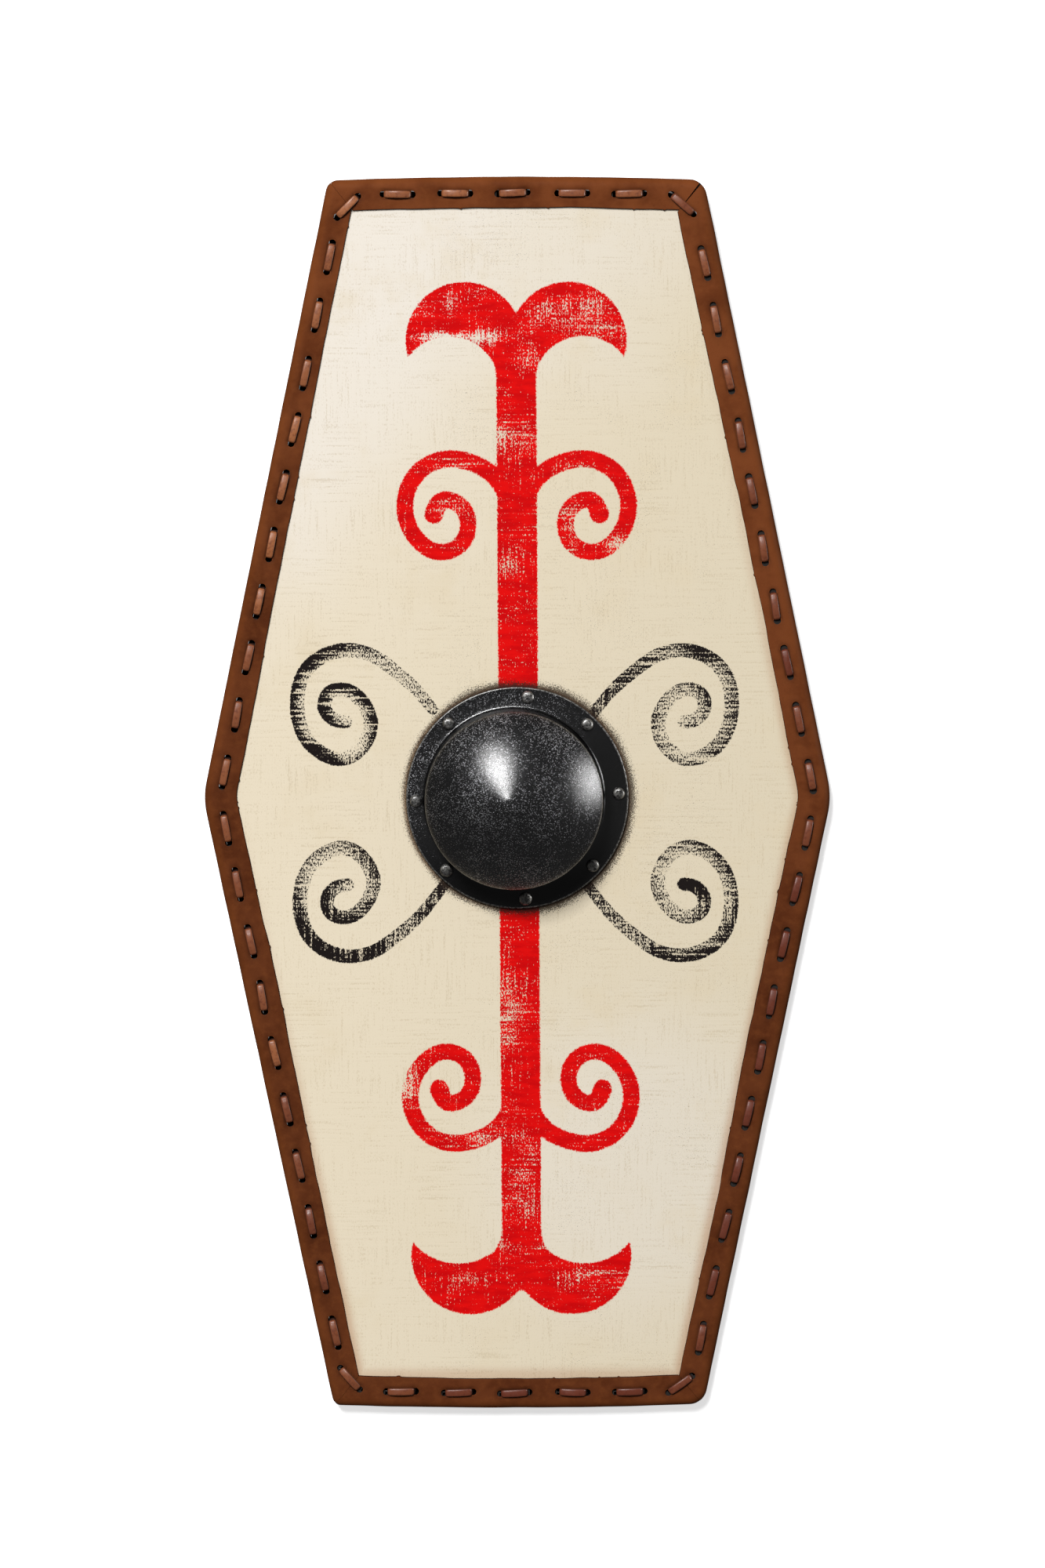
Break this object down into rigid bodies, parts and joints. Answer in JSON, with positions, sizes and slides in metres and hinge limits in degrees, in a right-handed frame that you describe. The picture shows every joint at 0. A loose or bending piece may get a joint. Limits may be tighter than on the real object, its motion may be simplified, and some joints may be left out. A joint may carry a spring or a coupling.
{
  "type": "hexagonal shield",
  "caption": "Long six-sided shield, painted with scrolls on pale canvas, with a laced brown leather rim and a riveted black round boss, lying face up.",
  "frame": {"origin": "on the ground below the middle of the boss flange, the centre of the shield's underside", "axes": "+Z out of the painted face, +Y to the shield's top along its length, +X to its right seen from the front"},
  "size_m": [0.5568, 1.1, 0.0956],
  "materials": {
    "painted_canvas": "matte cream paint over coarse canvas, with red and black brushed scrolls",
    "brown_leather": "smooth reddish-brown leather, slightly mottled, satin",
    "lacing_leather": "dark red-brown lace, glossier than the rim",
    "black_iron": "black with a fine silver speckle, semi-gloss",
    "grip_wood": "plain oiled hardwood"
  },
  "bodies": {
    "root": {"board": "painted_canvas", "rim_top": "brown_leather", "rim_bottom": "brown_leather", "rim_left": "brown_leather", "rim_right": "brown_leather", "lace": "lacing_leather", "boss": "black_iron", "rivet_1": "black_iron", "rivet_2": "black_iron", "rivet_3": "black_iron", "rivet_4": "black_iron", "rivet_5": "black_iron", "rivet_6": "black_iron", "rivet_7": "black_iron", "rivet_8": "black_iron", "grip": "grip_wood"}
  },
  "joints": []
}
